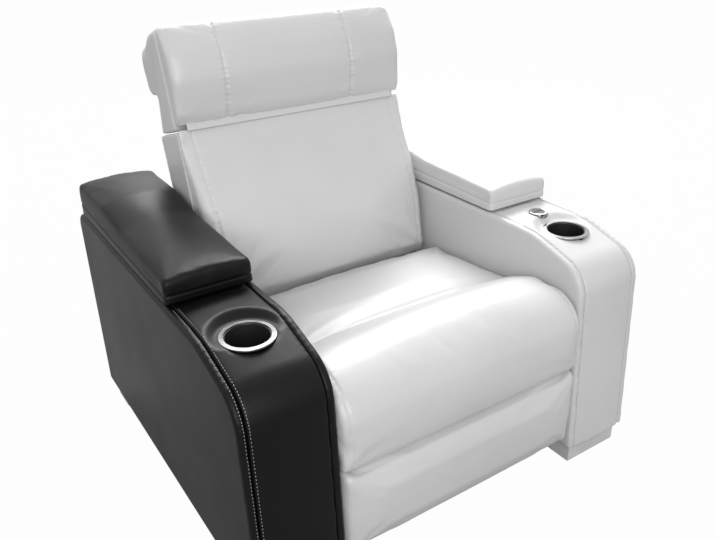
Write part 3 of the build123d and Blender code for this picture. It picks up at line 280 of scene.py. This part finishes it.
def plywood():
    """Birch board: long growth lines and a cloudy tone."""
    board = Finish("plywood")
    stretched = board.place.node("ShaderNodeMapping", {"Vector": board.place, "Scale": (60.0, 4.0, 60.0)})
    lines = board.noise(2.2, detail=5.0, rough=0.6, place=stretched)
    clouds = board.noise(5)
    board.feed("Base Color", board.blend(lines * 0.7 + clouds * 0.3, BIRCH, BIRCH_DARK))
    board.feed("Roughness", (lines * 0.2 + 0.55).clamp())
    board.bump(lines, strength=0.25, distance=0.0004)
    return board.material


FINISHES = {
    "grey leather": GREY_LEATHER,
    "black leather": BLACK_LEATHER,
    "chrome": plain_metal("polished_ring", level=0.42, rough=0.16, scale=30),
    "bright steel": plain_metal("zinc_plated", level=0.62, rough=0.30, scale=60),
    "painted steel": plain_metal("sprayed_black", level=0.03, rough=0.42, scale=40, metallic=0.0),
    "plywood": plywood(),
    "moulded black": plastic("moulded_black", level=0.012, rough=0.42, scale=1500),
    "grey plinth": plastic("grey_plinth", level=0.62, rough=0.55, scale=1100),
    "white nylon": plastic("white_nylon", level=0.7, rough=0.4, scale=900),
}
print(len(FINISHES), "finishes so far")

# %% [markdown]
# ## Cloth and thread
# Webbing and lining are woven: two sets of threads cross at right angles, so two sets of waves are
# added up. Thread is twisted, which breaks its light up finely.


# %% Woven bands, lining and thread
def woven(name, scale, dark, light):
    """Two crossing sets of threads."""
    band = Finish(name)
    inputs = {"Vector": band.place, "Scale": scale}
    across = band.place.node("ShaderNodeTexWave", inputs, bands_direction="X")
    along = band.place.node("ShaderNodeTexWave", inputs, bands_direction="Y")
    weave = across * 0.5 + along * 0.5
    band.feed("Base Color", band.blend(weave, tone(dark), tone(light)))
    band.feed("Roughness", (0.9 - weave * 0.15).clamp())
    band.bump(weave, strength=0.5, distance=0.0005)
    return band.material


def thread(name, level):
    """Twisted polyester thread."""
    yarn = Finish(name)
    twist = yarn.noise(900, detail=1.0)
    yarn.feed("Base Color", yarn.blend(twist, tone(level), tone(level * 0.7)))
    yarn.feed("Roughness", (twist * 0.2 + 0.45).clamp())
    yarn.bump(twist, strength=0.3, distance=0.0002)
    return yarn.material


FINISHES["webbing"] = woven("webbing", scale=330.0, dark=0.03, light=0.09)
FINISHES["black lining"] = woven("lining", scale=520.0, dark=0.012, light=0.035)
for node, slot in slot_of.items():
    nodes[node].data.materials.clear()
    nodes[node].data.materials.append(FINISHES[slot])
PALE_THREAD = thread("pale_thread", level=0.55)
# The black arm's thread is a mid grey, far lighter than the leather: partly a contrast stitch, partly a
# painted highlight that stands in for the bright gloss lines along its seams.
GREY_THREAD_AND_PAINTED_HIGHLIGHT = thread("grey_thread_and_painted_highlight", level=0.40)
print(f"{len(FINISHES)} finishes on {len(slot_of)} nodes")

# %% [markdown]
# ## Places on the seat
# The back leans, so places on it are given by two lengths: how far they lie behind its front plane,
# and how far up along it from the crease where the back meets the seat.

# %% Measures of the seat
BACK_LEAN = radians(15.8)
CREASE_Y, CREASE_Z = 0.072, 0.428
ARM_X = 0.426
LID_FRONT_Y, LID_REAR_Y = -0.153, 0.450


def back_n(co):
    """How far points lie behind the back's leaning front plane."""
    return (co[:, 1] - CREASE_Y) * cos(BACK_LEAN) - (co[:, 2] - CREASE_Z) * sin(BACK_LEAN)


def back_u(co):
    """How far points lie up along the leaning back, from the seat's crease."""
    return (co[:, 1] - CREASE_Y) * sin(BACK_LEAN) + (co[:, 2] - CREASE_Z) * cos(BACK_LEAN)


def back_point(x, n, u):
    """The point at x, n behind the back's front plane and u up along it."""
    run = Vector((0, cos(BACK_LEAN), -sin(BACK_LEAN))) * n
    climb = Vector((0, sin(BACK_LEAN), cos(BACK_LEAN))) * u
    return Vector((x, CREASE_Y, CREASE_Z)) + run + climb


print("a point on the back, 0.4 m up:", back_point(0, 0, 0.4))

# %% [markdown]
# ## Covers
# Leather over foam has no hard edge. Every upholstered solid is copied and given an even mesh, and
# that mesh is relaxed, so its corners turn into the soft rolls of a sewn cover.


# %% Tools for covers
def show(mesh, name, material):
    """Put a mesh in the scene as a smooth piece of one finish."""
    obj = bpy.data.objects.new(name, mesh)
    scene.collection.objects.link(obj)
    mesh.materials.clear()
    mesh.materials.append(material)
    mesh.shade_smooth()
    return obj


def finished(obj):
    """Work the piece's modifiers into its mesh."""
    bpy.context.view_layer.update()
    graph = bpy.context.evaluated_depsgraph_get()
    mesh = bpy.data.meshes.new_from_object(obj.evaluated_get(graph))
    obj.modifiers.clear()
    obj.data, old = mesh, obj.data
    bpy.data.meshes.remove(old)
    mesh.shade_smooth()


def settled(obj, rounds):
    """Relax a mesh so that its steps and ridges go."""
    bm = bmesh.new()
    bm.from_mesh(obj.data)
    every_way = dict(use_axis_x=True, use_axis_y=True, use_axis_z=True)
    for _ in range(rounds):
        bmesh.ops.smooth_vert(bm, verts=bm.verts, factor=0.5, **every_way)
    bm.to_mesh(obj.data)
    bm.free()


def cover_of(node, voxel, rounds):
    """A relaxed, even mesh over a copy of a solid."""
    bm = bmesh.new()
    bm.from_mesh(nodes[node].data)
    bmesh.ops.remove_doubles(bm, verts=bm.verts, dist=0.00002)
    mesh = bpy.data.meshes.new(node + "_cover")
    bm.to_mesh(mesh)
    bm.free()
    obj = show(mesh, node + "_cover", FINISHES[slot_of[node]])
    remesh = obj.modifiers.new("even mesh", "REMESH")
    remesh.mode = "VOXEL"
    remesh.voxel_size = voxel
    finished(obj)
    settled(obj, rounds)
    return obj


def finer(obj):
    """One level of subdivision, so that seams come out crisp."""
    level = obj.modifiers.new("finer", "SUBSURF")
    level.levels = level.render_levels = 1
    finished(obj)


def points_of(obj, what="co"):
    """The piece's points, or their normals, as rows of an array."""
    values = np.empty(len(obj.data.vertices) * 3)
    obj.data.vertices.foreach_get(what, values)
    return values.reshape(-1, 3)


def reshape(obj, points):
    """Write moved points into the piece."""
    obj.data.vertices.foreach_set("co", np.ascontiguousarray(points).ravel())
    obj.data.update()


print("tools for covers ready")

# %% [markdown]
# ## Cut the cushions
# Each cushion's cover starts as a copy of its solid, drawn in a little so that there is room to stuff
# it. What rests on a board or is sewn to a neighbour is held, and isn't drawn in.

# %% The cushions and what holds each of them
SEAT_BASE_Z, SEAT_SEAM_Y = 0.334, -0.240
BOLSTER_BASE_Z, BOLSTER_SEAM_Y = 0.300, -0.262
BOARD_N = 0.050
REAR_PAD_N, REAR_PAD_U = 0.082, 0.418
FOOTREST_BOARD_Y = -0.4425
LID_BOARD_Z = 0.584
CUSHIONS = {
    "seat_cushion": (0.0065, lambda co: (co[:, 2] < SEAT_BASE_Z) | (co[:, 1] < SEAT_SEAM_Y)),
    "seat_bolster": (0.0065, lambda co: (co[:, 2] < BOLSTER_BASE_Z) | (co[:, 1] > BOLSTER_SEAM_Y)),
    "back_cushion": (0.0065, lambda co: back_n(co) > BOARD_N),
    "headrest_front_pad": (0.0055, lambda co: back_n(co) > BOARD_N),
    "headrest_rear_pad": (0.0065, lambda co: (back_n(co) < REAR_PAD_N) | (back_u(co) < REAR_PAD_U)),
    "footrest_pad": (0.0065, lambda co: co[:, 1] > FOOTREST_BOARD_Y),
    "left_lid_pad": (0.0050, lambda co: co[:, 2] < LID_BOARD_Z),
    "right_lid_pad": (0.0050, lambda co: co[:, 2] < LID_BOARD_Z),
}
DRAW_IN = 0.006

covers = {}
plain = {}
for node, (voxel, held_where) in CUSHIONS.items():
    cushion = cover_of(node, voxel, rounds=3)
    plain[node] = points_of(cushion)
    held = held_where(plain[node])
    reshape(cushion, plain[node] - points_of(cushion, "normal") * (DRAW_IN * ~held)[:, None])
    group = cushion.vertex_groups.new(name="held")
    group.add([int(index) for index in np.flatnonzero(held)], 1.0, "REPLACE")
    covers[node] = cushion
    print(node, len(held), "points,", int(held.sum()), "held")

# %% [markdown]
# ## Stuff them
# A short cloth run blows the covers up again: inner pressure, no gravity, twenty frames. It gives the
# small pulls and creases of real leather.

# %% Run the cloth
PRESSURE = 4.0
FRAMES = 20
for node in CUSHIONS:
    cloth = covers[node].modifiers.new("stuffing", "CLOTH")
    cloth.settings.quality = 4
    cloth.settings.use_pressure = True
    cloth.settings.uniform_pressure_force = PRESSURE
    cloth.settings.effector_weights.gravity = 0
    cloth.settings.vertex_group_mass = "held"
    cloth.point_cache.frame_start = 1
    cloth.point_cache.frame_end = FRAMES
scene.frame_start, scene.frame_end = 1, FRAMES
for frame_number in range(1, FRAMES + 1):
    scene.frame_set(frame_number)
for node in CUSHIONS:
    finished(covers[node])
scene.frame_set(1)
print("cushions", "stuffed")

# %% [markdown]
# ## Keep the creases, not the swelling
# The run also swells a cushion as a whole. So each point goes back to the plain form, and only what it
# moved more or less than the cushion's middle value is kept, along its normal. Lids keep least.

# %% Creases on the plain form
CREASES, LID_CREASES = 0.55, 0.22
MOST = 0.012
STIRRED, MOVED = 0.0005, 0.0004
for node in CUSHIONS:
    cushion = covers[node]
    way = points_of(cushion) - plain[node]
    length = np.linalg.norm(way, axis=1)
    reshape(cushion, plain[node])
    outward = points_of(cushion, "normal")
    along = (way * outward).sum(axis=1)
    swelling = np.median(along[np.abs(along) > STIRRED])
    kept = LID_CREASES if "lid" in node else CREASES
    detail = np.clip((along - swelling) * kept, -MOST, MOST) * (length > MOVED)
    reshape(cushion, plain[node] + outward * detail[:, None])
    settled(cushion, rounds=1)
    print(node, "moved", round(float(length.mean()) * 1000, 1), "mm on average")

# %% [markdown]
# ## Upholstered boards
# The arm's sides, the strip over its nose, its rear and the back's shell are boards under thin foam.
# Their covers only need soft edges.

# %% Covers of the boards
BOARDS = ["back_shell"]
for side in ("left", "right"):
    BOARDS += [f"{side}_arm_{part}" for part in ("outer_panel", "inner_panel", "front_pad", "rear_panel")]
for node in BOARDS:
    covers[node] = cover_of(node, 0.0045 if "front_pad" in node else 0.005, rounds=2)
print(len(BOARDS), "boards covered")

# %% [markdown]
# ## Cup dishes
# Around each cup the leather is drawn down to the holder's flange, in a dish with a soft rim.

# %% Draw the leather down around the cups
CUP_Y = -0.3137
DISH_FLOOR = 0.564
DISH_IN, DISH_OUT = 0.058, 0.083
for side, arm_x in (("left", ARM_X), ("right", -ARM_X)):
    pad = covers[f"{side}_arm_front_pad"]
    points = points_of(pad)
    reach = np.hypot(points[:, 0] - arm_x, points[:, 1] - CUP_Y)
    share = np.clip((DISH_OUT - reach) / (DISH_OUT - DISH_IN), 0, 1)
    drop = share * share * (3 - 2 * share) * np.clip(points[:, 2] - DISH_FLOOR, 0, 1)
    points[:, 2] -= drop
    reshape(pad, points)
    print(side, "dish up to", round(float(drop.max()) * 1000, 1), "mm deep")

# %% [markdown]
# ## The fold under the headrest
# The back's cover runs up in a lip and the headrest's chin comes down in a full roll, so the fold
# between them is deep and dark, and the hinge behind it stays out of sight.

# %% Raise the lip and fill the chin
LIP_FROM, BACK_TOP, LIP_TOP, LIP_RISE = 0.365, 0.404, 0.4155, 0.0145
CHIN_FROM, CHIN_TO, CHIN_BASE, CHIN_FALL = 0.460, 0.430, 0.4225, 0.011


def slide_up(node, rise):
    """Move a cover's points up along the leaning back by so much each."""
    points = points_of(covers[node])
    points[:, 1] += rise * sin(BACK_LEAN)
    points[:, 2] += rise * cos(BACK_LEAN)
    reshape(covers[node], points)
    least, most = (round(float(value) * 1000, 1) for value in (rise.min(), rise.max()))
    print(node, "moved up by", least, "to", most, "mm")


height = back_u(points_of(covers["back_cushion"]))
share = np.clip((height - LIP_FROM) / (BACK_TOP - LIP_FROM), 0, 1) ** 2
slide_up("back_cushion", np.minimum(share * LIP_RISE, np.maximum(LIP_TOP - height, 0)))
height = back_u(points_of(covers["headrest_front_pad"]))
share = np.clip((CHIN_FROM - height) / (CHIN_FROM - CHIN_TO), 0, 1)
slide_up("headrest_front_pad", -np.minimum(share * CHIN_FALL, np.maximum(height - CHIN_BASE, 0)))

# %% [markdown]
# ## Seams
# A seam is a narrow valley where two pieces of leather are sewn together and pulled down. Close to
# it the leather puckers. A seam is written as the distance of each point from the sewn line.

# %% Press seams into covers
HEAD_SEAMS_X = (-0.190, 0.160)
SEAT_SEAM_X, BACK_SEAM_X = 0.306, 0.286
BOXING_Z, BOXING_RISE = 0.599, 0.014
PANEL_SEAM = dict(depth=0.0036, width=0.0032, pucker=0.0010)
SIDE_SEAM = dict(depth=0.0020, width=0.0030, pucker=0.0006)
LID_SEAM = dict(depth=0.0020, width=0.0024)
PUCKER_STEP, PUCKER_DRIFT = 0.017, 0.041


def press(node, distance, depth, width, pucker=0.0, along=None):
    """Pull a cover in along a seam; along runs beside the seam and times the puckers."""
    cover = covers[node]
    points, outward = points_of(cover), points_of(cover, "normal")
    away = distance(points)
    sink = depth * np.exp(-((away / width) ** 2))
    if pucker:
        turns = along(points) * 2 * pi
        rhythm = np.sin(turns / PUCKER_STEP) * np.sin(turns / PUCKER_DRIFT + 1)
        sink = sink + pucker * rhythm * np.exp(-((away / (width * 4)) ** 2))
    reshape(cover, points - outward * sink[:, None])


def boxing(co):
    """How far points lie above a lid's boxing seam, which climbs towards the rear."""
    return co[:, 2] - BOXING_Z - BOXING_RISE * (co[:, 1] - LID_FRONT_Y) / (LID_REAR_Y - LID_FRONT_Y)


for node in CUSHIONS:
    finer(covers[node])
for seam_x in HEAD_SEAMS_X:
    for node in ("headrest_front_pad", "headrest_rear_pad"):
        press(node, lambda co: co[:, 0] - seam_x, along=back_u, **PANEL_SEAM)
for node in ("seat_cushion", "seat_bolster"):
    press(node, lambda co: np.abs(co[:, 0]) - SEAT_SEAM_X, along=lambda co: co[:, 1], **SIDE_SEAM)
press("back_cushion", lambda co: np.abs(co[:, 0]) - BACK_SEAM_X, along=back_u, **SIDE_SEAM)
for node in ("left_lid_pad", "right_lid_pad"):
    press(node, boxing, **LID_SEAM)
print("seams pressed")

# %% [markdown]
# ## Gusset
# A strip of the same leather joins the back's lip to the headrest's chin, and it sags a little
# rearwards into the fold.

# %% Sew the gusset
GUSSET_HALF = 0.296
GUSSET_LOW, GUSSET_HIGH, GUSSET_N = 0.408, 0.430, 0.0465
GUSSET_SAG, GUSSET_THICK = 0.0015, 0.0012

bm = bmesh.new()
bmesh.ops.create_grid(bm, x_segments=90, y_segments=8, size=1)
for vert in bm.verts:
    across, climb = vert.co.x, (vert.co.y + 1) / 2
    ripple = 0.0006 * sin(across * 41) + 0.0004 * sin(across * 97 + 1)
    n = GUSSET_N + (GUSSET_SAG + ripple) * sin(pi * climb)
    vert.co = back_point(across * GUSSET_HALF, n, GUSSET_LOW + climb * (GUSSET_HIGH - GUSSET_LOW))
gusset_mesh = bpy.data.meshes.new("headrest_gusset")
bm.to_mesh(gusset_mesh)
bm.free()
gusset = show(gusset_mesh, "headrest_gusset", GREY_LEATHER)
wall = gusset.modifiers.new("leather", "SOLIDIFY")
wall.thickness = GUSSET_THICK
finished(gusset)
print("gusset of", len(gusset.data.vertices), "points")

# %% [markdown]
# ## Topstitching
# Two rows of thread run along each arm's outer edge, one on each side of the seam, from the lid over
# the nose down to the foot. A row is laid by shooting rays at the cover from outside, and a stitch is
# set at every step along the line that they find. On the black arm the thread is a light grey: partly a
# contrast stitch, partly a painted highlight for the seams' bright gloss lines.

# %% Lay stitches along a line
STITCH_STEP = 0.0062
STITCH = (0.0008, 0.0023, 0.0007)  # half sizes: across, along, high
ROW_START_Y, ROW_END_Z = LID_FRONT_Y - 0.006, 0.062
NOSE_Y, NOSE_Z = -0.360, 0.450
ABOVE_Z, BEFORE_Y, AROUND = 0.70, -0.66, 0.3
RAY_STEP, RAY_TURN = 0.002, 0.012


def skin_line(obj, x):
    """Points and normals on a cover, from the lid over the nose to the foot, at one x."""
    faces = [tuple(face.vertices) for face in obj.data.polygons]
    tree = BVHTree.FromPolygons([vert.co for vert in obj.data.vertices], faces)
    down, rearward = Vector((0, 0, -1)), Vector((0, 1, 0))
    rays = [(Vector((x, y, ABOVE_Z)), down) for y in np.arange(ROW_START_Y, NOSE_Y, -RAY_STEP)]
    for angle in np.arange(0, pi / 2, RAY_TURN):
        outward = Vector((0, -sin(angle), cos(angle)))
        rays.append((Vector((x, NOSE_Y, NOSE_Z)) + outward * AROUND, -outward))
    rays += [(Vector((x, BEFORE_Y, z)), rearward) for z in np.arange(NOSE_Z, ROW_END_Z, -RAY_STEP)]
    hits = [tree.ray_cast(start, direction)[:2] for start, direction in rays]
    return [(point, normal) for point, normal in hits if point]


def stitch_row(name, line, material):
    """One mesh with a stitch at every step of a line."""
    bm = bmesh.new()
    walked = 0.0
    for (before, _), (here, normal) in zip(line, line[1:]):
        walked += (here - before).length
        if walked < STITCH_STEP:
            continue
        walked = 0.0
        along = (here - before).normalized()
        across = along.cross(normal).normalized()
        facing = Matrix((across, along, normal)).transposed().to_4x4()
        place = Matrix.Translation(here) @ facing @ Matrix.Diagonal((*STITCH, 1))
        bmesh.ops.create_icosphere(bm, subdivisions=1, radius=1, matrix=place)
    mesh = bpy.data.meshes.new(name)
    bm.to_mesh(mesh)
    bm.free()
    return show(mesh, name, material)


SEAM_X = ARM_X + 0.081
ROW_GAP = 0.0055
rows = []
# On the black arm the light grey thread also stands in for the seams' bright gloss lines, a painted
# highlight.
for side, sign, yarn in (("left", 1, PALE_THREAD), ("right", -1, GREY_THREAD_AND_PAINTED_HIGHLIGHT)):
    inner_line = skin_line(covers[f"{side}_arm_front_pad"], sign * (SEAM_X - ROW_GAP))
    outer_line = skin_line(covers[f"{side}_arm_outer_panel"], sign * (SEAM_X + ROW_GAP))
    rows.append(stitch_row(f"{side}_arm_stitches_inner", inner_line, yarn))
    rows.append(stitch_row(f"{side}_arm_stitches_outer", outer_line, yarn))
print(len(rows), "rows of stitches")

# %% [markdown]
# ## Backdrop
# The world is white to the camera and in mirrors, and a little weaker as a light. A Light Path node
# says which kind of ray asks.

# %% White all round
SKY_LIGHT, SKY_SEEN = 0.78, 1.0


def watched(tree, in_mirrors):
    """1 for rays to the camera or through glass, and a share of 1 for mirrored ones."""
    path = tree.nodes.new("ShaderNodeLightPath").outputs
    kinds = ("Camera", "Transmission", "Glossy")
    seen, through, mirrored = (Wire(tree, path[f"Is {kind} Ray"]) for kind in kinds)
    return seen.maths("MAXIMUM", seen.maths("MAXIMUM", seen, through), mirrored * in_mirrors)


scene.world = bpy.data.worlds.new("studio")
scene.world.use_nodes = True
sky = scene.world.node_tree
background = sky.nodes["Background"]
background.inputs["Color"].default_value = (1, 1, 1, 1)
strength = sky.nodes.new("ShaderNodeMapRange")
strength.inputs["To Min"].default_value = SKY_LIGHT
strength.inputs["To Max"].default_value = SKY_SEEN
sky.links.new(watched(sky, in_mirrors=1.0).socket, strength.inputs["Value"])
sky.links.new(strength.outputs[0], background.inputs["Strength"])
print("world of strength", SKY_LIGHT, "seen as", SKY_SEEN)

# %% [markdown]
# ## Floor
# The floor glows white to the camera and keeps the seat's soft shadow. In mirrored rays it glows by
# a quarter, because black leather that mirrors a white floor looks grey. As a light it is matt paint.

# %% Lay the floor
FLOOR_REACH, FLOOR_DROP = 60, 0.0005
FLOOR_PAINT, FLOOR_GLOW, FLOOR_IN_MIRRORS = 0.22, 0.98, 0.25

bm = bmesh.new()
bmesh.ops.create_grid(bm, x_segments=1, y_segments=1, size=FLOOR_REACH)
floor_mesh = bpy.data.meshes.new("floor")
bm.to_mesh(floor_mesh)
bm.free()
floor = bpy.data.objects.new("floor", floor_mesh)
scene.collection.objects.link(floor)
floor.location.z = -FLOOR_DROP

floor_material = bpy.data.materials.new("floor_white")
floor_material.use_nodes = True
tree = floor_material.node_tree
paint = tree.nodes["Principled BSDF"]
paint.inputs["Base Color"].default_value = tone(FLOOR_PAINT)
paint.inputs["Roughness"].default_value = 0.9
glow = tree.nodes.new("ShaderNodeEmission")
share = watched(tree, FLOOR_IN_MIRRORS) * FLOOR_GLOW
mix = tree.nodes.new("ShaderNodeMixShader")
tree.links.new(share.socket, mix.inputs[0])
tree.links.new(paint.outputs[0], mix.inputs[1])
tree.links.new(glow.outputs[0], mix.inputs[2])
tree.links.new(mix.outputs[0], tree.nodes["Material Output"].inputs["Surface"])
floor.data.materials.append(floor_material)
print("floor laid")

# %% [markdown]
# ## Put the covers on
# Each cover stands for its plain solid and moves with the same part of the seat. Stitches stay on the
# arms, and the gusset stays where it is made.

# %% Hand the covers over
body_of = {node: body for body, members in frame["record"]["behaviour"]["bodies"].items() for node in members}
for node, cover in covers.items():
    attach(cover, body_of[node])
    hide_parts(node)
for row in rows:
    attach(row, "base")
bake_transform(gusset)
print(len(covers), "covers in place")
